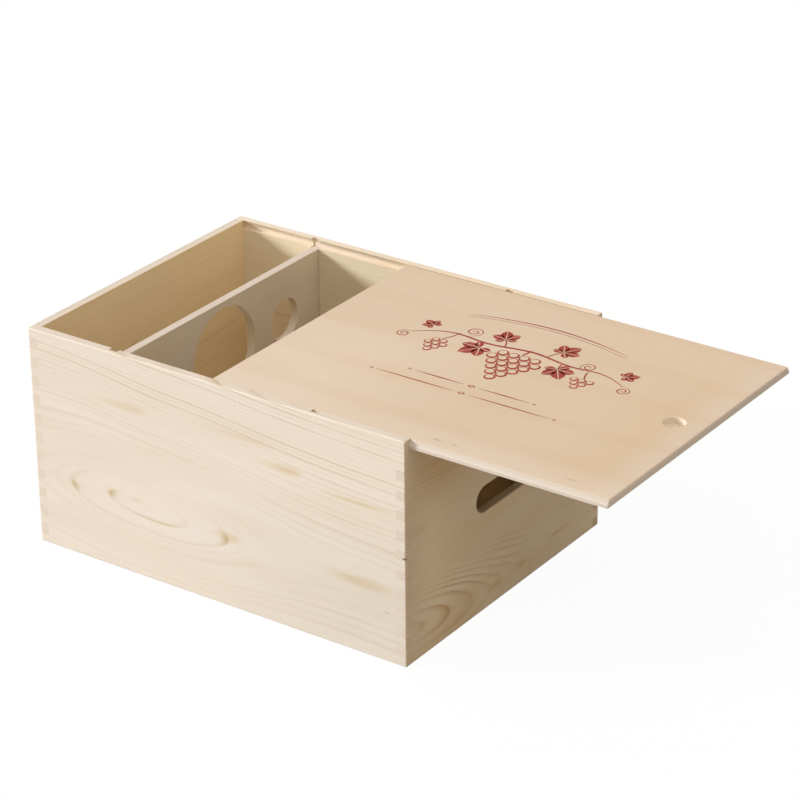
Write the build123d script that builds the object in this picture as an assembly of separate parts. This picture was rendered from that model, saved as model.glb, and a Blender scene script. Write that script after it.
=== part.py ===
"""Finger-jointed pine box with a sliding bevelled lid and two notched cross dividers.

The frame has its origin at the centre of the base, +X along the length towards the end where the
lid slides out, +Y towards the back wall and +Z up. Lengths are in millimetres.
"""

import os

from build123d import *

# Case
length = 360.0
wall = 8.0
edge_round = 1.0
finger_count = 23
finger_gap = 0.05
entry_shoulder_fingers = 2
overrun = 5.0

# Round cut-outs in the dividers, which set the width and the height of the case
hole_pitch = 81.0
body_hole_diameter = 81.0
neck_hole_diameter = 37.0
side_margin = 8.0
web_margin = 5.7
columns = 3
rows = 2

# Dividers and the upright channels that hold them
divider_thickness = 7.0
divider_station = 96.5
channel_depth = 4.5
divider_gap = 0.3
divider_headroom = 0.4

# Floor board and its tongue
floor_thickness = 9.0
floor_gap = 0.3
tongue_length = 4.0
tongue_thickness = 4.0
tongue_gap = 0.1

# Sliding lid and its groove
lid_thickness = 6.5
lid_land = 2.5
lid_bevel_width = 2.6
lid_side_gap = 0.35
lid_end_gap = 0.3
lid_under_gap = 0.3
lid_over_gap = 0.2
lid_recess_below_rim = 0.4
groove_depth = 3.5
lid_opening = 169.5
lid_end_round = 1.2
thumb_diameter = 17.3
thumb_floor = 1.0
thumb_inset = 24.3
thumb_round = 0.6

# Hand holes in the end walls
hand_hole_length = 84.0
hand_hole_height = 22.0
hand_hole_level = 97.0
hand_hole_round = 1.5

# Levels and spans that follow from the sizes above
inner_width = (columns - 1) * hole_pitch + body_hole_diameter + 2 * side_margin
width = inner_width + 2 * wall
inner_length = length - 2 * wall
divider_top = floor_thickness + (rows - 1) * hole_pitch + body_hole_diameter + 2 * web_margin
groove_level = divider_top + divider_headroom
lid_under = groove_level + lid_under_gap
lid_top = lid_under + lid_thickness
height = lid_top + lid_recess_below_rim
finger_height = height / finger_count
first_row_level = floor_thickness + web_margin + body_hole_diameter / 2
row_levels = [first_row_level + row * hole_pitch for row in range(rows)]
column_places = [(column - (columns - 1) / 2) * hole_pitch for column in range(columns)]

# Finger indices of the end walls, counted from the base: the entry end has a plain shoulder under the groove
fixed_end_fingers = range(1, finger_count, 2)
entry_finger_limit = groove_level / finger_height - entry_shoulder_fingers
entry_end_fingers = [index for index in fixed_end_fingers if index + 1 < entry_finger_limit]


def block(x_span, y_span, z_span):
    """A box between the two coordinates given on each axis."""
    size = [high - low for low, high in (x_span, y_span, z_span)]
    middle = [(high + low) / 2 for low, high in (x_span, y_span, z_span)]
    return Pos(*middle) * Box(*size)


def finger_span(index, gap):
    """Bottom and top level of one finger, drawn in by the gap."""
    return index * finger_height + gap, (index + 1) * finger_height - gap


def bevelled_board(edge, ends, under, land_top, top):
    """A board between two places along the length, with the top edges of its long sides bevelled.

    edge is the clear distance from the outside of the case to the board's widest part.
    """
    inset = (top - land_top) * lid_bevel_width / (lid_thickness - lid_land)
    half = width / 2 - edge
    outline = Polyline(
        (-half, under), (half, under), (half, land_top), (half - inset, top),
        (-half + inset, top), (-half, land_top), close=True,
    )
    first, last = ends
    return extrude(Pos(first, 0, 0) * make_face(Plane.YZ * outline), last - first)


def lid_run():
    """The space that the lid sweeps through, up and out of the rim, with its running gaps."""
    ends = (-inner_length / 2, length / 2 + overrun)
    land_top = lid_under + lid_land + lid_over_gap
    return bevelled_board(wall - groove_depth, ends, groove_level, land_top, height + overrun)


def floor_tongue(gap):
    """The tongue round the floor board, grown by a gap for its groove."""
    reach = tongue_length + gap
    middle = floor_thickness / 2
    half_thickness = tongue_thickness / 2 + gap
    half_length = inner_length / 2 + reach
    half_width = inner_width / 2 + reach
    levels = (middle - half_thickness, middle + half_thickness)
    return block((-half_length, half_length), (-half_width, half_width), levels)


def divider_channels():
    """The upright channels in both long walls, open at the rim so that the dividers drop in."""
    half_width = inner_width / 2 + channel_depth
    half_slot = divider_thickness / 2 + divider_gap
    return [
        block(
            (place - half_slot, place + half_slot),
            (-half_width, half_width),
            (floor_thickness, height + overrun),
        )
        for place in (-divider_station, divider_station)
    ]


def long_wall(side):
    """A front (side -1) or back (side 1) wall with pockets for the fingers of the end walls."""
    faces = sorted((side * inner_width / 2, side * width / 2))
    blank = block((-length / 2, length / 2), faces, (0, height))
    for end, fingers in ((-1, fixed_end_fingers), (1, entry_end_fingers)):
        ends = sorted((end * (inner_length / 2 - finger_gap), end * (length / 2 + overrun)))
        for index in fingers:
            blank -= block(ends, faces, finger_span(index, 0))
    blank -= floor_tongue(tongue_gap)
    for channel in divider_channels():
        blank -= channel
    return (blank - lid_run()) & outer_form


def end_wall(end, fingers):
    """The fixed (end -1) or entry (end 1) wall with its fingers and its hand hole."""
    faces = sorted((end * inner_length / 2, end * length / 2))
    half_core = inner_width / 2 - finger_gap
    blank = block(faces, (-half_core, half_core), (0, height))
    for index in fingers:
        blank += block(faces, (-width / 2, width / 2), finger_span(index, finger_gap))
    blank -= floor_tongue(tongue_gap)
    return with_hand_hole((blank - lid_run()) & outer_form, end)


def with_hand_hole(panel, end):
    """The end wall with a round-ended hand hole, eased where the fingers bear."""
    slot = Plane.YZ * SlotOverall(hand_hole_length, hand_hole_height)
    panel -= extrude(Pos(0, 0, hand_hole_level) * slot, end * length)
    half_length = hand_hole_length / 2
    half_height = hand_hole_height / 2
    mouth = panel.edges().filter_by_position(Axis.Y, -half_length, half_length)
    mouth = mouth.filter_by_position(Axis.Z, hand_hole_level - half_height, hand_hole_level + half_height)
    return fillet(mouth.filter_by(Plane.YZ), hand_hole_round)


def floor_board():
    """The floor, let into all four walls by its tongue and flush with their lower edges."""
    half_length = inner_length / 2 - floor_gap
    half_width = inner_width / 2 - floor_gap
    panel = block((-half_length, half_length), (-half_width, half_width), (0, floor_thickness))
    return panel + floor_tongue(0)


def lid_board():
    """The sliding lid, drawn part-way out, with a blind thumb recess near its outer end."""
    edge = wall - groove_depth + lid_side_gap
    ends = (-inner_length / 2 + lid_end_gap, length / 2)
    board = bevelled_board(edge, ends, lid_under, lid_under + lid_land, lid_top)
    thumb_depth = lid_thickness - thumb_floor
    recess = Pos(length / 2 - thumb_inset, 0, lid_under + thumb_floor) * Cylinder(
        thumb_diameter / 2, thumb_depth + overrun, align=(Align.CENTER, Align.CENTER, Align.MIN)
    )
    board = fillet(board.faces().sort_by(Axis.X)[-1].edges(), lid_end_round) - recess
    rim = board.edges().filter_by(GeomType.CIRCLE).sort_by(Axis.Z)[-1]
    return Pos(lid_opening, 0, 0) * fillet(rim, thumb_round)


def divider_holes(station_index):
    """Alternating wide and narrow round holes, in opposite order at the two stations."""
    holes = []
    for row, level in enumerate(row_levels):
        for column, place in enumerate(column_places):
            is_wide = (row + column + station_index) % 2 == 0
            radius = (body_hole_diameter if is_wide else neck_hole_diameter) / 2
            holes.append(Pos(0, place, level) * Rot(0, 90, 0) * Cylinder(radius, length))
    return holes


def divider_plates(station_index, place):
    """One divider as three plates that stack in the channels, parted at the centres of the holes."""
    half_thickness = divider_thickness / 2
    half_width = inner_width / 2 + channel_depth - divider_gap
    levels = [floor_thickness, *row_levels, divider_top]
    plates = []
    for bottom, top in zip(levels, levels[1:]):
        faces = (place - half_thickness, place + half_thickness)
        plate = block(faces, (-half_width, half_width), (bottom, top))
        for hole in divider_holes(station_index):
            plate -= hole
        plates.append(plate)
    return plates


case_form = block((-length / 2, length / 2), (-width / 2, width / 2), (0, height))
outer_form = fillet(case_form.edges(), edge_round)

nodes = {
    "front_wall": long_wall(-1),
    "back_wall": long_wall(1),
    "fixed_end_wall": end_wall(-1, fixed_end_fingers),
    "entry_end_wall": end_wall(1, entry_end_fingers),
    "floor_panel": floor_board(),
    "lid": lid_board(),
}
stations = (("left", -divider_station), ("right", divider_station))
for station_index, (side, place) in enumerate(stations):
    for tier, plate in zip(("lower", "middle", "upper"), divider_plates(station_index, place)):
        nodes[f"{side}_divider_{tier}"] = plate

os.makedirs("parts", exist_ok=True)
for name, solid in nodes.items():
    export_step(solid, f"parts/{name}.step")
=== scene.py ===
import math

import bpy
from mathutils import Matrix, Vector


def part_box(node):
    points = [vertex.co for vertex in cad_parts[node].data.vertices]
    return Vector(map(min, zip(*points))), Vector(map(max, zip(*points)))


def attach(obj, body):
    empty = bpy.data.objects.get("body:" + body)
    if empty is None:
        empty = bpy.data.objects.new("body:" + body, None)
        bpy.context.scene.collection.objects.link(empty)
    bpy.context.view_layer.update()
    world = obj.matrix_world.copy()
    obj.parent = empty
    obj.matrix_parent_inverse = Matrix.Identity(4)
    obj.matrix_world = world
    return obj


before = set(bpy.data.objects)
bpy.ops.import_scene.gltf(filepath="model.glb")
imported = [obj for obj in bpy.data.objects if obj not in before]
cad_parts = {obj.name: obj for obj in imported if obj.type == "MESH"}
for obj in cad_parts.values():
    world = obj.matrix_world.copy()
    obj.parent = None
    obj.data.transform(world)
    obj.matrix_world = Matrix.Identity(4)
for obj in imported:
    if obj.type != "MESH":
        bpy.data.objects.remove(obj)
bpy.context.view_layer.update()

MM = 0.001

# Outer faces of the case and of the lid, read from the frame, in millimetres
FRONT_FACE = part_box("front_wall")[0].y / MM
END_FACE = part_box("entry_end_wall")[1].x / MM
LID_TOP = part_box("lid")[1].z / MM
LID_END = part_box("lid")[1].x / MM

# Thumb recess: its middle along the lid, and the radii between which its bare wood, lightened as painted
# light, gives way to the veneer
RECESS_INSET = 24.3
RECESS_PLACE = LID_END - RECESS_INSET
RECESS_EDGE = (8.9, 9.3)


# Shader nodes

class Wire:
    """An output socket whose arithmetic adds Math nodes."""

    def __init__(self, graph, socket):
        self.graph = graph
        self.socket = socket

    def __add__(self, other):
        return calculate(self.graph, "ADD", self, other)

    def __radd__(self, other):
        return calculate(self.graph, "ADD", other, self)

    def __sub__(self, other):
        return calculate(self.graph, "SUBTRACT", self, other)

    def __rsub__(self, other):
        return calculate(self.graph, "SUBTRACT", other, self)

    def __mul__(self, other):
        return calculate(self.graph, "MULTIPLY", self, other)

    def __rmul__(self, other):
        return calculate(self.graph, "MULTIPLY", other, self)

    def __truediv__(self, other):
        return calculate(self.graph, "DIVIDE", self, other)

    def __rtruediv__(self, other):
        return calculate(self.graph, "DIVIDE", other, self)

    def __pow__(self, other):
        return calculate(self.graph, "POWER", self, other)

    def __neg__(self):
        return calculate(self.graph, "MULTIPLY", self, -1.0)

    def __abs__(self):
        return calculate(self.graph, "ABSOLUTE", self)

    def output(self, name):
        """Another output of the same node."""
        return Wire(self.graph, self.socket.node.outputs[name])


class Graph:
    """The node tree of one material, or of the world."""

    def __init__(self, name, kind=bpy.data.materials):
        self.owner = kind.new(name)
        self.owner.use_nodes = True
        self.tree = self.owner.node_tree
        self.tree.nodes.clear()

    def node(self, kind, settings=None, inputs=(), output=0):
        """Add a node, set it up, feed its sockets by name or in order, and give one of its outputs."""
        made = self.tree.nodes.new(kind)
        for key, value in (settings or {}).items():
            if key == "stops":
                fill_ramp(made.color_ramp, value)
            else:
                setattr(made, key, value)
        pairs = inputs.items() if isinstance(inputs, dict) else enumerate(inputs)
        for key, value in pairs:
            if isinstance(value, Wire):
                self.tree.links.new(value.socket, made.inputs[key])
            else:
                made.inputs[key].default_value = value
        return Wire(self, made.outputs[output]) if made.outputs else None

    def surface(self, shader, kind="ShaderNodeOutputMaterial"):
        """Lead a shader to the surface, and give the finished material or world."""
        self.node(kind, {}, {"Surface": shader})
        return self.owner


def fill_ramp(ramp, stops):
    """Give a colour ramp its stops, as places with grey levels or colours."""
    while len(ramp.elements) < len(stops):
        ramp.elements.new(1.0)
    for element, (place, level) in zip(ramp.elements, stops):
        element.position = place
        element.color = (level, level, level, 1.0) if isinstance(level, float) else level


def paint(red, green, blue):
    """A colour from its usual 0 to 255 levels."""
    def linear(level):
        share = level / 255
        return share / 12.92 if share <= 0.04045 else ((share + 0.055) / 1.055) ** 2.4
    return (linear(red), linear(green), linear(blue), 1.0)


def calculate(graph, operation, *values):
    """The result of a Math node."""
    return graph.node("ShaderNodeMath", {"operation": operation}, values)


def larger(graph, first, second):
    """The larger of two values."""
    return calculate(graph, "MAXIMUM", first, second)


def hypot(first, second):
    """The long side of a right-angled triangle."""
    return (first * first + second * second) ** 0.5


def vector(graph, x, y, z):
    """Three values as one vector."""
    return graph.node("ShaderNodeCombineXYZ", {}, [x, y, z])


def place_in_mm(graph):
    """The three object coordinates in millimetres."""
    place = graph.node("ShaderNodeTexCoord", output="Object")
    parts = graph.node("ShaderNodeSeparateXYZ", {}, [place])
    return parts * (1 / MM), parts.output("Y") * (1 / MM), parts.output("Z") * (1 / MM)


def noise(graph, place, detail=2.0, roughness=0.5):
    """Smooth noise about zero, from -0.5 to 0.5."""
    inputs = {"Vector": place, "Scale": 1.0, "Detail": detail, "Roughness": roughness}
    return graph.node("ShaderNodeTexNoise", {}, inputs) - 0.5


def drawn_noise(graph, place, lengths, seed=0.0, detail=2.0, roughness=0.5):
    """Noise drawn out along the grain, by its lengths along and across the grain in millimetres."""
    along, across, depth = place
    run, breadth = lengths
    drawn = vector(graph, along / run, across / breadth, depth / breadth + seed)
    return noise(graph, drawn, detail, roughness)


def step(graph, value, low, high):
    """A smooth rise from 0 to 1 between two values."""
    settings = {"interpolation_type": "SMOOTHSTEP"}
    inputs = {"Value": value, "From Min": low, "From Max": high}
    return graph.node("ShaderNodeMapRange", settings, inputs)


def fade(graph, distance):
    """1 in the middle of a mark, falling softly to 0 at a distance of 1."""
    return 1 - step(graph, distance, 0.05, 1.0)


def tail_share(graph, offset, tails):
    """How far out an offset lies on the tail before a mark's middle or on the tail after it."""
    before, after = tails
    return larger(graph, offset / after, offset / -before)


def spot(graph, along, across, middle, tails, half):
    """A soft mark, full in its middle, that fades over a tail on each side along the grain."""
    first = tail_share(graph, along - middle[0], tails)
    second = (across - middle[1]) / half
    return fade(graph, hypot(first, second))


def facing(graph, axis):
    """How squarely a face looks along an axis, from 0 beside it to 1 along it."""
    normal = graph.node("ShaderNodeTexCoord", output="Normal")
    parts = graph.node("ShaderNodeSeparateXYZ", {}, [normal])
    return step(graph, abs(parts.output(axis)), 0.55, 0.85)


def mix(graph, share, first, second, blend="MIX"):
    """Two colours mixed by a share."""
    settings = {"data_type": "RGBA", "blend_type": blend}
    return graph.node("ShaderNodeMix", settings, {0: share, 6: first, 7: second}, 2)


def shaded(graph, colour, level):
    """A colour made lighter or darker by a level about 1."""
    return mix(graph, 1.0, colour, vector(graph, level, level, level), "MULTIPLY")


def wood_surface(graph, colour, rough, gloss, height, relief):
    """A planed surface, with a relief given as a strength and a rise in millimetres."""
    strength, rise = relief
    bump = graph.node("ShaderNodeBump", {}, {"Strength": strength, "Distance": rise * MM, "Height": height})
    shader = graph.node("ShaderNodeBsdfPrincipled", {}, {
        "Base Color": colour, "Roughness": rough, "Normal": bump, "Specular IOR Level": gloss,
    })
    return graph.surface(shader)


# Pine boards

RESIN = paint(238, 226, 199)
STRAW = paint(236, 229, 193)
UMBER = paint(228, 201, 160)
# Dark flecks, and the painted shadow of a chip
FLECK_AND_CHIP_SHADOW = paint(104, 80, 58)
# A cool grey tint laid on as painted shade
PAINTED_SHADE = paint(238, 242, 242)
# A grey tint laid on as painted shade near an edge
PAINTED_EDGE_SHADE = paint(222, 215, 212)

# Lengths along and across the grain, in millimetres, over which a board's look changes
SLOW_WAVES = (240, 60)
RIPPLES = (60, 10)
CLOUDS = (170, 24)
PATCHES = (110, 34)
FIBRES = (30, 0.8)
HAIRS = (5, 0.5)
PORES = (1, 0.35)

# Depths under a board's outer face, in millimetres, where its marks end and where its painted warm bounce
# light on inner faces begins
SKIN = (1.5, 4.0)
PAINTED_BOUNCE_DEPTHS = (4.0, 7.0)

# Darkness through one ring, from its pale early wood to its dark late wood
RING_PROFILE = [(0.0, 0.25), (0.16, 0.0), (0.48, 0.04), (0.76, 0.5), (0.9, 1.0), (1.0, 0.25)]

# How rings crowd away from the heart, the length over which they crowd and spread, and their ripple
RING_CROWDING = 1.32
RING_SPELL = 15
RIPPLE_HEIGHT = 1.4

# Reach of the crown along the board, the fade at the edge of the clear heart and the tails of a single ring
CROWN_REACH = 100
CLEAR_BLEND = 4.0
LOOP_TAILS = (2.0, 0.7)

# What most boards share
PLAIN_BOARD = {
    "faintest": 0.18, "rim": 1.0, "clear": -4.0, "loops": (), "bends": (), "bolder": (), "crests": (),
}

# Each board's own figure, with places along and across its grain in millimetres.
# axes names the axes along, across and through the board, and inward the way in from its outer face.
# The rings lie about a heart, which runs at a level and a depth and dips away from its crown.
# bends shift the rings over a span along and a span across, and loops are single rings by their radius.
# bolder and crests make rings stronger or fainter, and streaks and flecks are marks on the outer face, save
# a few broad streaks of painted shade and one fleck that is the painted shadow of a chip.
# A share darkens each board's upward faces as painted shade; 1.0 leaves them as they are.
BOARDS = {
    "front_wall": {
        **PLAIN_BOARD,
        "axes": "XZY", "face": FRONT_FACE, "inward": 1.0, "seed": 3.7,
        "heart_level": 63.0, "heart_depth": 9.0, "crown": -67.0, "tilt": 0.0, "swell": 30.0, "lean": -4.0,
        "wander": 5.0, "ring_unit": 11.0, "contrast": 0.36,
        "rim": 0.89, "painted_bounce": paint(255, 250, 232),
        "clear": 29.0, "loops": ((9.6, 0.5), (13.7, 0.9), (23.0, 0.85), (27.0, 0.3)),
        "bends": ((12.0, (-40.0, -180.0), (95.0, 150.0)), (-6.0, (-40.0, -180.0), (160.0, 190.0))),
        "bolder": (("X", 0.0, 150.0, 0.5), ("Z", 110.0, 170.0, 1.3)),
        "crests": (
            ((-108.0, 67.0), (8.0, 14.0), 10.0, 1.0), ((-141.0, 62.0), (8.0, 12.0), 9.0, 0.6),
            ((-82.0, 65.0), (6.0, 8.0), 7.0, 0.5), ((-50.0, 52.0), (60.0, 30.0), 12.0, 0.5),
            ((10.0, 58.0), (30.0, 14.0), 9.0, 0.9), ((-60.0, 82.0), (84.0, 90.0), 18.0, -0.7),
            ((54.0, 58.0), (32.0, 40.0), 20.0, -0.5),
        ),
        "pale": paint(240, 227, 214), "warm": paint(235, 219, 202), "late": paint(208, 186, 148),
        "end": paint(216, 192, 159),
        "flecks_and_chip_shadow": (
            ((162.8, 42.1), (3.4, 2.4), 0.7, 0.55),
            ((24.0, 176.7), (1.0, 1.0), 0.8, 0.7), ((-155.0, 156.0), (1.4, 1.0), 0.8, 0.4),
        ),
        "streaks_and_shade": (
            ((74.0, 136.0), (44.0, 14.0), 6.5, RESIN, 1.0), ((-72.0, 147.0), (64.0, 14.0), 6.0, RESIN, 0.7),
            ((146.0, 61.0), (54.0, 36.0), 7.5, RESIN, 1.0), ((16.0, 61.0), (32.0, 10.0), 6.0, RESIN, 1.0),
            ((136.0, 128.0), (40.0, 56.0), 2.2, STRAW, 1.0), ((-107.0, 67.0), (7.0, 10.0), 5.0, STRAW, 0.6),
            ((-80.0, 66.0), (7.0, 9.0), 4.0, STRAW, 0.6), ((-140.0, 63.0), (7.0, 9.0), 5.0, RESIN, 0.6),
            ((40.0, 152.0), (80.0, 30.0), 4.5, RESIN, 0.45),
            # Painted shade over the lower right of the face
            ((190.0, 30.0), (270.0, 40.0), 130.0, PAINTED_SHADE, 1.0),
        ),
    },
    "back_wall": {
        **PLAIN_BOARD,
        "axes": "XZY", "face": -FRONT_FACE, "inward": -1.0, "seed": 11.3,
        "heart_level": 96.0, "heart_depth": 26.0, "crown": 60.0, "tilt": 2.0, "swell": 12.0, "lean": 3.0,
        "wander": 9.0, "ring_unit": 10.4, "contrast": 0.5,
        "painted_bounce": paint(252, 254, 244),
        "pale": paint(240, 226, 211), "warm": paint(234, 215, 192), "late": paint(208, 182, 142),
        "end": paint(216, 192, 159),
        "flecks_and_chip_shadow": (((64.0, 31.0), (2.0, 1.4), 0.8, 0.5),),
        "streaks_and_shade": (
            ((-120.0, 120.0), (40.0, 16.0), 5.0, RESIN, 0.8), ((30.0, 40.0), (20.0, 50.0), 5.0, RESIN, 0.5),
            ((110.0, 150.0), (30.0, 12.0), 3.0, STRAW, 0.8),
        ),
    },
    "entry_end_wall": {
        **PLAIN_BOARD,
        "axes": "YZX", "face": END_FACE, "inward": -1.0, "seed": 6.1,
        "heart_level": 30.0, "heart_depth": 5.0, "crown": -140.0, "tilt": 6.0, "swell": 20.0, "lean": -13.0,
        "wander": 6.0, "ring_unit": 9.0, "contrast": 0.13, "faintest": 0.5,
        # Strong painted shade on upward faces, the hand hole's lower lip among them
        "rim": 0.58, "painted_bounce": paint(255, 248, 226),
        "bolder": (("Z", 80.0, 40.0, 1.5), ("Y", 10.0, 70.0, -0.6)),
        "crests": (
            ((-78.0, 28.0), (60.0, 60.0), 40.0, 1.4), ((-10.0, 34.0), (60.0, 50.0), 24.0, 0.6),
            ((-100.0, 150.0), (40.0, 70.0), 34.0, 0.5),
        ),
        "pale": paint(240, 219, 187), "warm": paint(233, 207, 168), "late": paint(204, 164, 114),
        "end": paint(228, 211, 195),
        # The painted shadow of a chip at the near corner
        "flecks_and_chip_shadow": (((-137.5, 92.8), (3.0, 2.5), 1.3, 1.0),),
        "streaks_and_shade": (
            ((-12.0, 15.0), (20.0, 9.0), 5.0, UMBER, 0.8), ((24.0, 17.0), (24.0, 10.0), 6.0, UMBER, 0.6),
            ((72.0, 21.0), (16.0, 30.0), 2.6, UMBER, 0.9), ((-118.0, 110.0), (20.0, 20.0), 8.0, UMBER, 0.35),
            # Painted shade of the lid's overhang over the upper near part of the face
            ((-80.0, 168.0), (80.0, 150.0), 62.0, UMBER, 0.95),
            # Painted shade fading in from the near edge
            ((-140.0, 80.0), (10.0, 46.0), 300.0, PAINTED_EDGE_SHADE, 1.0),
            ((-80.0, 12.0), (60.0, 60.0), 26.0, UMBER, 0.35),
        ),
    },
    "fixed_end_wall": {
        **PLAIN_BOARD,
        "axes": "YZX", "face": -END_FACE, "inward": 1.0, "seed": 17.9,
        "heart_level": 110.0, "heart_depth": 24.0, "crown": 40.0, "tilt": -6.0, "swell": 13.0, "lean": 4.0,
        "wander": 9.0, "ring_unit": 10.0, "contrast": 0.34,
        "rim": 0.9, "painted_bounce": paint(255, 245, 211),
        "pale": paint(240, 226, 212), "warm": paint(235, 219, 200), "late": paint(206, 178, 138),
        "end": paint(233, 216, 199),
        "flecks_and_chip_shadow": (((38.0, 52.0), (1.6, 1.2), 0.8, 0.5),),
        "streaks_and_shade": (
            ((-60.0, 60.0), (30.0, 12.0), 5.0, RESIN, 0.8), ((70.0, 140.0), (10.0, 30.0), 4.0, STRAW, 0.7),
            # Painted shade over the whole outer face
            ((0.0, 95.0), (900.0, 900.0), 900.0, PAINTED_SHADE, 1.0),
        ),
    },
    "floor_panel": {
        **PLAIN_BOARD,
        "axes": "XYZ", "face": 0.0, "inward": 1.0, "seed": 23.0,
        "heart_level": 20.0, "heart_depth": 26.0, "crown": 30.0, "tilt": 3.0, "swell": 12.0, "lean": 5.0,
        "wander": 9.0, "ring_unit": 10.0, "contrast": 0.55,
        "painted_bounce": paint(255, 250, 232),
        "pale": paint(236, 217, 190), "warm": paint(228, 205, 172), "late": paint(203, 166, 120),
        "end": paint(222, 204, 186),
        "flecks_and_chip_shadow": (((-90.0, 60.0), (2.0, 1.4), 0.9, 0.5),),
        "streaks_and_shade": (((60.0, -40.0), (40.0, 20.0), 5.0, RESIN, 0.8),),
    },
}


def growth_rings(graph, board, place):
    """Thin dark latewood lines of a board, some rings stronger than others."""
    along, across, depth = place
    seed = board["seed"]
    for shift, along_span, across_span in board["bends"]:
        across = across - shift * step(graph, along, *along_span) * step(graph, across, *across_span)
    bent = (along, across, depth)
    slow = drawn_noise(graph, bent, SLOW_WAVES, seed)
    ripple = drawn_noise(graph, bent, RIPPLES, seed, detail=3.0)
    reach = (along - board["crown"]) / CROWN_REACH
    swell = 1 - calculate(graph, "EXPONENT", -(reach * reach))
    heart = board["heart_depth"] + reach * board["tilt"] + swell * board["swell"]
    radius = hypot(across - board["heart_level"] - reach * board["lean"], depth + heart)
    radius = larger(graph, radius + slow * board["wander"] + ripple * RIPPLE_HEIGHT, 1.0)
    rate = noise(graph, vector(graph, radius / RING_SPELL, seed, 0.0), detail=1.0)
    phase = (radius / board["ring_unit"]) ** RING_CROWDING + rate * 2.0
    ring = calculate(graph, "FRACT", phase)
    number = calculate(graph, "FLOOR", phase)
    chance = graph.node("ShaderNodeTexWhiteNoise", {"noise_dimensions": "1D"}, {"W": number + seed})
    late = graph.node("ShaderNodeValToRGB", {"stops": RING_PROFILE}, [ring])
    faintest = board["faintest"]
    late = late * (faintest + (1 - faintest) * chance * chance)
    late = late * step(graph, radius, board["clear"], board["clear"] + CLEAR_BLEND)
    for middle, share in board["loops"]:
        line = fade(graph, tail_share(graph, radius - middle, LOOP_TAILS))
        late = larger(graph, late, line * share)
    return late


def pine(name, board):
    """Solid pine: rings, fibre, warm resin stripes and duller end grain, cut by the faces of the board, with
    painted shade on upward faces and in broad patches, and painted warm bounce light on inner faces.
    """
    graph = Graph(name)
    axes = dict(zip("XYZ", place_in_mm(graph)))
    along, across, through = (axes[axis] for axis in board["axes"])
    depth = (through - board["face"]) * board["inward"]
    place = (along, across, depth)
    seed = board["seed"]
    late = growth_rings(graph, board, place)
    cloud = drawn_noise(graph, place, CLOUDS, seed, detail=3.0)
    patch = drawn_noise(graph, place, PATCHES, seed + 4)
    fibre = drawn_noise(graph, place, FIBRES, seed, roughness=0.6)
    hair = drawn_noise(graph, place, HAIRS, detail=1.0)
    pores = drawn_noise(graph, place, PORES, detail=1.0)
    skin = 1 - step(graph, depth, *SKIN)
    show = board["contrast"] * larger(graph, 0.8 + patch * 2.4, 0.1)
    for axis, low, high, gain in board["bolder"]:
        show = show * (1 + gain * step(graph, axes[axis], low, high))
    for middle, tails, half, gain in board["crests"]:
        show = show + gain * skin * spot(graph, along, across, middle, tails, half)
    colour = mix(graph, step(graph, cloud, -0.28, 0.3), board["pale"], board["warm"])
    line = graph.node("ShaderNodeClamp", {}, [late * show])
    colour = mix(graph, line, colour, board["late"])
    wisp = step(graph, fibre + hair * 0.4, -0.35, 0.25)
    strength = skin * (0.3 + 0.7 * wisp)
    ragged = (along + cloud * 20, across + fibre * 1.2 + cloud * 3)
    # Resin and straw streaks, and broad marks of painted shade
    for middle, tails, half, tint, share in board["streaks_and_shade"]:
        streak_and_shade = spot(graph, *ragged, middle, tails, half)
        colour = mix(graph, streak_and_shade * strength * share, colour, tint, "MULTIPLY")
    up = facing(graph, "Z")
    # Inner faces below the outer skin take a warm tint as painted bounce light
    colour = mix(graph, step(graph, depth, *PAINTED_BOUNCE_DEPTHS) * (1 - up), colour, board["painted_bounce"], "MULTIPLY")
    # Upward faces are darkened by a share as painted shade
    rim = 1 - up * (1 - board["rim"])
    colour = shaded(graph, colour, (1 + fibre * 0.06 + hair * 0.05) * rim)
    end = facing(graph, board["axes"][0])
    colour = mix(graph, end, colour, shaded(graph, board["end"], 1 + pores * 0.14 - late * 0.12))
    # Dark flecks, and the painted shadow of a chip
    for middle, tails, half, share in board["flecks_and_chip_shadow"]:
        fleck_and_chip_shadow = spot(graph, along, across + hair * 0.5, middle, tails, half)
        colour = mix(graph, fleck_and_chip_shadow * skin * share, colour, FLECK_AND_CHIP_SHADOW)
    rough = 0.6 + end * 0.15 - late * 0.06
    height = fibre * 0.5 + late * 0.25
    return wood_surface(graph, colour, rough, gloss=0.3, height=height, relief=(0.14, 0.3))


# Lid veneer and divider board

VENEER = {
    "pale": paint(227, 208, 189), "rosy": paint(222, 200, 176), "outer": paint(215, 192, 167),
    "band": paint(213, 187, 157), "tip": paint(217, 197, 176), "figure": paint(208, 172, 132),
    "near": paint(226, 208, 190), "smudge": paint(150, 132, 120),
    "core": paint(205, 190, 173), "deep_core": paint(219, 204, 190), "glue": paint(198, 179, 156),
    # The thumb recess takes the lid's tan, lightened as painted light against its shade
    "recess": paint(230, 215, 196), "sawn_end": paint(217, 200, 181),
}

# Lengths along and across the grain, in millimetres, over which the veneer's look changes
VENEER_FLOW = (140, 30)
VENEER_FIBRES = (28, 0.9)

# Run of the core's layers, in radians to a millimetre
LAYER_PACE = 3.4

# Spans in millimetres over which the veneer's tints come in, along the lid and across it
OUTER_HALF = (20.0, 200.0)
FAR_SIDE = (-50.0, 45.0)
BAND_START = (250.0, 318.0)
BAND_FINISH = (322.0, 344.0)
BAND_SIDE = (20.0, 110.0)
TIP = (322.0, 346.0)
NEAR_EDGE = (-90.0, -132.0)

# Middle, tails, half breadth and share of each smudge
SMUDGES = (
    ((197.0, -120.5), (7.0, 6.0), 2.2, 0.5), ((212.0, -120.5), (5.0, 5.0), 1.8, 0.4),
    ((311.5, -119.6), (8.0, 7.0), 2.0, 0.4),
)


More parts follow.
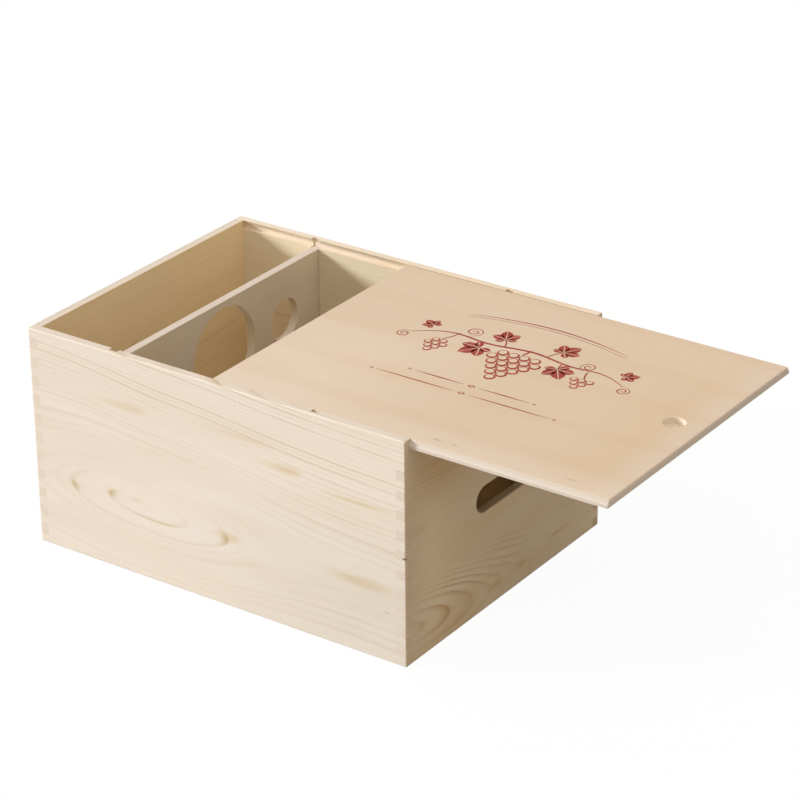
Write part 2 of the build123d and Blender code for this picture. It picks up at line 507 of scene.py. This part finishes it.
def veneer_face(graph, x, y, flow, cloud, fibre):
    """The peeled face of the lid, deeper in tint towards its outer end and far edge."""
    outer = larger(graph, step(graph, x, *OUTER_HALF), step(graph, y, *FAR_SIDE) * 0.9)
    band = step(graph, x + flow * 20, *BAND_START) * (1 - step(graph, x, *BAND_FINISH))
    band = band * (1 - step(graph, y, *BAND_SIDE))
    figure = step(graph, calculate(graph, "SINE", y / 9 + flow * 4.0 + cloud * 2.0), 0.3, 1.0)
    tone = step(graph, cloud + flow * 0.6, -0.4, 0.45)
    face = mix(graph, tone, VENEER["pale"], VENEER["rosy"])
    face = mix(graph, outer * 0.9, face, VENEER["outer"])
    face = mix(graph, band * 0.75, face, VENEER["band"])
    face = mix(graph, step(graph, x, *TIP) * 0.7, face, VENEER["tip"])
    face = mix(graph, figure * (0.1 + 0.06 * outer), face, VENEER["figure"])
    face = mix(graph, step(graph, y, *NEAR_EDGE) * 0.5, face, VENEER["near"])
    for middle, tails, half, share in SMUDGES:
        smudge = spot(graph, x + fibre * 4, y + fibre * 2, middle, tails, half)
        face = mix(graph, smudge * share, face, VENEER["smudge"])
    return face


def lid_veneer():
    """A laminated lid: rosy peeled face veneer over a paler core, with smudges near the edge and painted
    light in the thumb hollow.
    """
    graph = Graph("lid_veneer")
    place = place_in_mm(graph)
    x, y, z = place
    flow = drawn_noise(graph, place, VENEER_FLOW, detail=3.0)
    cloud = noise(graph, vector(graph, x / 70 + 8, y / 45, z / 20))
    fibre = drawn_noise(graph, place, VENEER_FIBRES, roughness=0.6)
    face = veneer_face(graph, x, y, flow, cloud, fibre)
    deep = LID_TOP - z
    core = mix(graph, step(graph, deep, 1.0, 4.5), VENEER["core"], VENEER["deep_core"])
    layers = calculate(graph, "SINE", deep * -LAYER_PACE)
    core = mix(graph, step(graph, layers, -0.2, 0.6) * 0.08, core, VENEER["glue"])
    recess = 1 - step(graph, hypot(x - RECESS_PLACE, y), *RECESS_EDGE)
    # Painted light: the thumb recess is lightened against its shade
    core = mix(graph, recess, core, VENEER["recess"])
    colour = mix(graph, step(graph, deep + fibre * 0.1, 0.05, 0.3), face, core)
    end = facing(graph, "X")
    colour = mix(graph, end * 0.9 * (1 - recess), colour, VENEER["sawn_end"])
    colour = shaded(graph, colour, 1 + fibre * 0.05)
    rough = 0.5 + end * 0.2 + fibre * 0.1
    return wood_surface(graph, colour, rough, gloss=0.35, height=fibre, relief=(0.1, 0.2))


def divider_board():
    """Smooth pale board with a faint grain, a little rosier on its upper edges."""
    graph = Graph("divider_board")
    x, y, z = place_in_mm(graph)
    flow = noise(graph, vector(graph, x / 20, y / 110, z / 26), 3.0)
    fibre = noise(graph, vector(graph, x / 0.8, y / 26, z / 0.8), 2.0, 0.6)
    colour = mix(graph, step(graph, flow, -0.3, 0.3), paint(226, 212, 190), paint(218, 200, 174))
    colour = mix(graph, facing(graph, "Z") * 0.7, colour, paint(216, 200, 191))
    colour = shaded(graph, colour, 1 + fibre * 0.06)
    return wood_surface(graph, colour, 0.62, gloss=0.3, height=fibre, relief=(0.1, 0.2))


def dress_box():
    """Give every node its finish."""
    veneer = lid_veneer()
    board = divider_board()
    for name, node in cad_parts.items():
        node.data.materials.clear()
        if name in BOARDS:
            node.data.materials.append(pine(f"pine_{name}", BOARDS[name]))
        elif name == "lid":
            node.data.materials.append(veneer)
        else:
            node.data.materials.append(board)


# Vine print on the lid, in millimetres about its own middle

PRINT_MIDDLE = Vector((168.0, 8.0, 0.0))
INK_DEPTH = 0.1
BERRY_RADIUS = 4.7
BERRY_CORNERS = 28
BERRY_PITCH = 9.7
BERRY_DROP = 8.3
LEAF_SIZE = 19.0
LEAF_VEIN = 0.9
STALK_TAPER = 0.7
TENDRIL_POINTS = 15
TENDRIL_TURNS = 1.8
TENDRIL_CLOSING = 0.86
LOZENGE_LENGTH = 7.0
LOZENGE_BREADTH = 4.6
SMALL_LOZENGE = 0.55
RULE_GAP = 4

# Width of the ring and shift of its hole, as shares of a grape's radius
BERRY_RING = 0.28
BERRY_SHIFT = (-0.13, 0.15)

# Breadth of a leaf's lobe, the shift of its widest place and its rounding, as shares of its length
LOBE_BREADTH = 0.8
LOBE_SHIFT = 0.07
LOBE_ROUND = 0.26

# Middle width and end width of the stem and of a tendril
STEM_WIDTHS = (2.6, 0.6)
TENDRIL_WIDTHS = (1.1, 0.35)

# Turn in degrees and share of the leaf's size of each of its lobes
LOBES = ((0, 1.0), (56, 0.86), (-56, 0.86), (112, 0.62), (-112, 0.62))

STEM = (
    (-94, 17), (-78, 31), (-58, 35), (-36, 29), (-14, 33),
    (8, 38), (30, 32), (52, 29), (74, 36), (95, 22),
)

# Place, grapes in each row and size of each bunch
BUNCHES = (((2, 23), (4, 5, 4, 3, 2, 1), 1.0), ((-66, 15), (2, 3, 2, 1), 0.72), ((64, 14), (3, 2, 1), 0.72))

# Start, finish and width of each stalk
BUNCH_STALKS = (((4, 38), (2, 27), 2.0), ((-60, 35), (-66, 18), 1.3), ((60, 30), (64, 17), 1.3))
LEAF_STALKS = (
    ((-36, 29), (-33, 21), 1.3), ((36, 31), (38, 21), 1.3),
    ((-18, 33), (-24, 45), 1.3), ((20, 36), (26, 49), 1.3),
)

# Place, turn in degrees and size of each leaf
LEAVES = (
    ((-33, 21), 236, 1.0), ((38, 21), 304, 0.95), ((-24, 45), 118, 0.82), ((26, 49), 62, 0.86),
    ((-86, 36), 150, 0.6), ((88, 38), 34, 0.62),
)

# Start, turn in degrees, size and hand of each tendril
TENDRILS = (
    ((-52, 34), 270, 9.0, 1), ((56, 29), 270, 8.0, -1),
    ((-94, 17), 60, 7.0, 1), ((95, 22), 120, 7.0, -1),
)

# The arch over the vine, as half span, springing level and rise, and the drop and width of its two lines
ARCH = (72, 70, 12)
ARCH_LINES = ((0.0, 1.6), (-4.0, 0.7))

# Level, inner end and outer end of the rules under the vine
RULES = ((-40, 7, 52), (-54, 7, 78))
RULE_WIDTH = 1.5
LINE_END = 0.3


def ink():
    """Brick-red stencil ink that has sunk unevenly into the veneer."""
    graph = Graph("stencil_ink")
    x, y, z = place_in_mm(graph)
    cloud = noise(graph, vector(graph, x / 9, y / 9, z / 9), 3.0)
    grain = noise(graph, vector(graph, x / 5, y / 0.5, z / 5), 2.0, 0.6)
    colour = mix(graph, step(graph, cloud, -0.25, 0.3), paint(142, 42, 36), paint(172, 76, 62))
    colour = mix(graph, step(graph, grain + cloud * 0.5, 0.12, 0.3) * 0.5, colour, paint(214, 160, 134))
    shader = graph.node("ShaderNodeBsdfPrincipled", {}, {
        "Base Color": colour, "Roughness": 0.6, "Specular IOR Level": 0.25,
    })
    return graph.surface(shader)


def deselect():
    """Select nothing, so that a new primitive is worked on alone."""
    bpy.ops.object.select_all(action="DESELECT")


def choose(pieces):
    """Select these pieces alone, with the first one active."""
    deselect()
    for piece in pieces:
        piece.select_set(True)
    bpy.context.view_layer.objects.active = pieces[0]


def edit_faces():
    """Edit mode on the active piece, picking faces, with everything picked."""
    bpy.ops.object.mode_set(mode="EDIT")
    bpy.ops.mesh.select_mode(type="FACE")
    bpy.ops.mesh.select_all(action="SELECT")


def object_mode():
    """Leave edit mode, and give the piece that was worked on."""
    bpy.ops.object.mode_set(mode="OBJECT")
    return bpy.context.object


def pick(kind, test):
    """From edit mode, pick the vertices or faces that pass a test on their place, in millimetres."""
    bpy.ops.mesh.select_mode(type=kind)
    bpy.ops.mesh.select_all(action="DESELECT")
    mesh = object_mode().data
    if kind == "VERT":
        for vertex in mesh.vertices:
            vertex.select = test(vertex.co / MM)
    else:
        for face in mesh.polygons:
            face.select = test(face.center / MM)
    bpy.ops.object.mode_set(mode="EDIT")


def settle(piece):
    """Work the piece's place into its mesh."""
    choose([piece])
    bpy.ops.object.transform_apply(location=True, rotation=True, scale=True)
    return piece


def copy_to(piece, place, turn=0.0, size=1.0):
    """A copy with its own mesh, turned in degrees, sized and moved to a place on the print."""
    twin = piece.copy()
    twin.data = piece.data.copy()
    bpy.context.collection.objects.link(twin)
    twin.location = Vector((*place, 0.0)) * MM
    twin.rotation_euler.z = math.radians(turn)
    twin.scale = (size, size, 1.0)
    return settle(twin)


def thicken(piece):
    """Give a flat outline the depth of the ink."""
    choose([piece])
    bpy.ops.object.modifier_add(type="SOLIDIFY")
    modifier = piece.modifiers[-1]
    modifier.thickness = INK_DEPTH * MM
    modifier.offset = 0.0
    bpy.ops.object.modifier_apply(modifier=modifier.name)
    return piece


def join(parts):
    """Several pieces made one."""
    choose(parts)
    bpy.ops.object.join()
    return bpy.context.object


def grape():
    """A ring that is thick on one side and thin on the other, like a shaded berry."""
    radius = BERRY_RADIUS * MM
    deselect()
    bpy.ops.mesh.primitive_circle_add(vertices=BERRY_CORNERS, radius=radius, fill_type="NGON")
    edit_faces()
    bpy.ops.mesh.inset(thickness=BERRY_RING * radius)
    bpy.ops.transform.translate(value=(BERRY_SHIFT[0] * radius, BERRY_SHIFT[1] * radius, 0.0))
    bpy.ops.mesh.delete(type="FACE")
    return thicken(object_mode())


def start_lozenge(length, breadth):
    """A flat lozenge about the origin, left in edit mode with all of it picked."""
    deselect()
    bpy.ops.mesh.primitive_circle_add(vertices=4, radius=MM, fill_type="NGON")
    edit_faces()
    bpy.ops.transform.resize(value=(length / 2, breadth / 2, 1.0))


def lobe(length):
    """One pointed lobe of a leaf, in two halves with an open vein between them."""
    breadth = length * LOBE_BREADTH
    start_lozenge(length, breadth)
    bpy.ops.transform.translate(value=(length / 2 * MM, 0.0, 0.0))
    pick("VERT", lambda place: abs(place.y) > breadth / 4)
    bpy.ops.transform.translate(value=(LOBE_SHIFT * length * MM, 0.0, 0.0))
    bpy.ops.mesh.bevel(offset=LOBE_ROUND * length * MM, segments=6, affect="VERTICES")
    for level in (-LEAF_VEIN / 2, LEAF_VEIN / 2):
        bpy.ops.mesh.select_all(action="SELECT")
        bpy.ops.mesh.bisect(plane_co=(0.0, level * MM, 0.0), plane_no=(0.0, 1.0, 0.0))
    pick("FACE", lambda place: abs(place.y) < LEAF_VEIN / 8)
    bpy.ops.mesh.delete(type="FACE")
    return thicken(object_mode())


def leaf():
    """A vine leaf of five lobes about the end of its stalk."""
    parts = []
    for turn, share in LOBES:
        part = lobe(LEAF_SIZE * share)
        parts.append(copy_to(part, (0.0, 0.0), turn))
        bpy.data.objects.remove(part)
    return join(parts)


def diamond(length, breadth):
    """A small lozenge with an open middle."""
    start_lozenge(length, breadth)
    bpy.ops.mesh.inset(thickness=0.16 * breadth * MM)
    bpy.ops.mesh.delete(type="FACE")
    return thicken(object_mode())


def stroke(points, middle_width, end_width):
    """A pen stroke along a smooth path, swelling from its ends to its middle, pressed flat."""
    deselect()
    bpy.ops.curve.primitive_nurbs_path_add()
    curve = bpy.context.object
    spline = curve.data.splines[0]
    spline.points.add(len(points) - len(spline.points))
    spline.order_u = 4
    spline.use_endpoint_u = True
    last = len(points) - 1
    for index, (point, place) in enumerate(zip(spline.points, points)):
        fullness = math.sin(math.pi * index / last)
        point.co = (place[0] * MM, place[1] * MM, 0.0, 1.0)
        point.radius = end_width + (middle_width - end_width) * fullness
    curve.data.resolution_u = 8
    curve.data.bevel_depth = MM / 2
    curve.data.bevel_resolution = 1
    curve.data.use_fill_caps = True
    bpy.ops.object.convert(target="MESH")
    piece = bpy.context.object
    piece.scale.z = INK_DEPTH / middle_width
    return settle(piece)


def stalk(start, finish, width):
    """A short stroke that leaves the stem at a slant and then straightens."""
    bends = ((0.0, 0.0), (0.15, 0.35), (0.4, 0.6), (0.75, 0.8), (1.0, 1.0))
    across, along = finish[0] - start[0], finish[1] - start[1]
    points = [(start[0] + across * a, start[1] + along * b) for a, b in bends]
    return stroke(points, width, width * STALK_TAPER)


def tendril(start, turn, size, hand):
    """A stroke that winds up into a spiral."""
    points = []
    for index in range(TENDRIL_POINTS):
        share = index / (TENDRIL_POINTS - 1)
        angle = math.radians(turn) + hand * share * TENDRIL_TURNS * math.tau
        radius = size * (1 - TENDRIL_CLOSING * share)
        points.append((radius * math.cos(angle), radius * math.sin(angle)))
    shift = (start[0] - points[0][0], start[1] - points[0][1])
    return stroke([(x + shift[0], y + shift[1]) for x, y in points], *TENDRIL_WIDTHS)


def bunch(place, rows, size):
    """Grapes in closing rows, hung from the middle of the top row."""
    berry = grape()
    parts = []
    for row, count in enumerate(rows):
        for column in range(count):
            across = (column - (count - 1) / 2) * BERRY_PITCH * size
            parts.append(copy_to(berry, (place[0] + across, place[1] - row * BERRY_DROP * size), 0.0, size))
    bpy.data.objects.remove(berry)
    return parts


def vine():
    """Stem, leaves, bunches and tendrils."""
    parts = [stroke(STEM, *STEM_WIDTHS)]
    for place, rows, size in BUNCHES:
        parts += bunch(place, rows, size)
    parts += [stalk(*ends_and_width) for ends_and_width in BUNCH_STALKS]
    large = leaf()
    parts += [copy_to(large, place, turn, size) for place, turn, size in LEAVES]
    bpy.data.objects.remove(large)
    parts += [stalk(*ends_and_width) for ends_and_width in LEAF_STALKS]
    parts += [tendril(*curl) for curl in TENDRILS]
    return parts


def borders():
    """An arched double line above the vine and tapering rules with lozenges below it."""
    parts = []
    half_span, springing, rise = ARCH
    for drop, width in ARCH_LINES:
        shares = (-1, -0.7, -0.35, 0, 0.35, 0.7, 1)
        arch = [(half_span * share, springing + drop + rise * (1 - share * share)) for share in shares]
        parts.append(stroke(arch, width, LINE_END))
    lozenge = diamond(LOZENGE_LENGTH, LOZENGE_BREADTH)
    for level, inner, outer in RULES:
        for side in (-1, 1):
            shares = (0, 0.2, 0.4, 0.6, 0.8, 1)
            rule = [(side * (inner + (outer - inner) * share), level) for share in shares]
            parts.append(stroke(rule, RULE_WIDTH, LINE_END))
            parts.append(copy_to(lozenge, (side * (outer + RULE_GAP), level), size=SMALL_LOZENGE))
        parts.append(copy_to(lozenge, (0, level)))
    bpy.data.objects.remove(lozenge)
    return parts


def print_lid():
    """The whole print as one thin piece that lies on the lid and moves with it."""
    piece = join(vine() + borders())
    piece.name = "vine_print"
    piece.location = (PRINT_MIDDLE + Vector((0.0, 0.0, LID_TOP + INK_DEPTH / 2))) * MM
    settle(piece)
    piece.data.materials.clear()
    piece.data.materials.append(ink())
    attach(piece, "lid")


# Camera, light and floor

CAMERA_PLACE = (1.31719, -1.76577, 1.19039)
CAMERA_AZIMUTH = math.radians(35.0196)
CAMERA_ELEVATION = math.radians(25.9444)
CAMERA_ROLL = math.radians(-0.5117)
CAMERA_LENS = 138.1012
SENSOR_WIDTH = 36.0
FAR_CLIP = 50.0

# Name, direction, strength, colour and spread in degrees of each lamp
LAMPS = (
    ("window", (-0.80, -0.50, 0.30), 3.1, (0.93, 0.97, 1.0), 14.0),
    ("ceiling", (0.35, -0.25, 1.0), 1.0, (1.0, 0.98, 0.95), 60.0),
)

WHITE = (1.0, 1.0, 1.0, 1.0)
ROOM_COLOUR = (1.0, 0.9, 0.76, 1.0)
ROOM_STRENGTH = 0.46
FLOOR_SIZE = 12.0
FLOOR_TONE = 0.4
FLOOR_GLOW = 0.95


def add_camera():
    """The camera that was fitted to the corners of the box."""
    bpy.ops.object.camera_add(location=CAMERA_PLACE)
    camera = bpy.context.object
    flat = math.cos(CAMERA_ELEVATION)
    look = Vector((
        -flat * math.sin(CAMERA_AZIMUTH), flat * math.cos(CAMERA_AZIMUTH), -math.sin(CAMERA_ELEVATION),
    ))
    level = look.to_track_quat("-Z", "Y")
    camera.rotation_mode = "QUATERNION"
    camera.rotation_quaternion = level @ Matrix.Rotation(CAMERA_ROLL, 3, "Z").to_quaternion()
    camera.data.lens = CAMERA_LENS
    camera.data.sensor_width = SENSOR_WIDTH
    camera.data.clip_end = FAR_CLIP
    bpy.context.scene.camera = camera


def add_sun(name, towards, strength, colour, spread):
    """A distant lamp that shines from the direction given."""
    bpy.ops.object.light_add(type="SUN", location=Vector(towards) * 2)
    lamp = bpy.context.object
    lamp.name = name
    lamp.rotation_mode = "QUATERNION"
    lamp.rotation_quaternion = Vector(towards).to_track_quat("Z", "Y")
    lamp.data.energy = strength
    lamp.data.color = colour
    lamp.data.angle = math.radians(spread)


def seen_directly(graph):
    """1 for rays from the camera, from gloss and through clear stuff, 0 for plain light."""
    path = graph.node("ShaderNodeLightPath", output="Is Camera Ray")
    seen = path + path.output("Is Glossy Ray") + path.output("Is Transmission Ray")
    return graph.node("ShaderNodeClamp", {}, [seen])


def floor_paper():
    """White paper that stays white to the eye and still takes a soft shadow."""
    graph = Graph("floor_paper")
    seen = seen_directly(graph)
    tone = FLOOR_TONE + (1 - FLOOR_TONE) * seen
    matt = graph.node("ShaderNodeBsdfDiffuse", {}, {"Color": vector(graph, tone, tone, tone)})
    white = graph.node("ShaderNodeEmission", {}, {"Color": WHITE, "Strength": 1.0})
    return graph.surface(graph.node("ShaderNodeMixShader", {}, [seen * FLOOR_GLOW, matt, white]))


def add_floor():
    """The paper that the box stands on."""
    bpy.ops.mesh.primitive_plane_add(size=FLOOR_SIZE, location=(0.0, 0.0, 0.0))
    floor = bpy.context.object
    floor.name = "floor"
    floor.data.materials.append(floor_paper())


def add_world():
    """A soft warm room that shows as plain white."""
    graph = Graph("studio", bpy.data.worlds)
    room = graph.node("ShaderNodeBackground", {}, {"Color": ROOM_COLOUR, "Strength": ROOM_STRENGTH})
    white = graph.node("ShaderNodeBackground", {}, {"Color": WHITE, "Strength": 1.0})
    blend = graph.node("ShaderNodeMixShader", {}, [seen_directly(graph), room, white])
    bpy.context.scene.world = graph.surface(blend, "ShaderNodeOutputWorld")


dress_box()
print_lid()
add_camera()
for lamp in LAMPS:
    add_sun(*lamp)
add_floor()
add_world()
bpy.context.scene.view_settings.view_transform = "Standard"
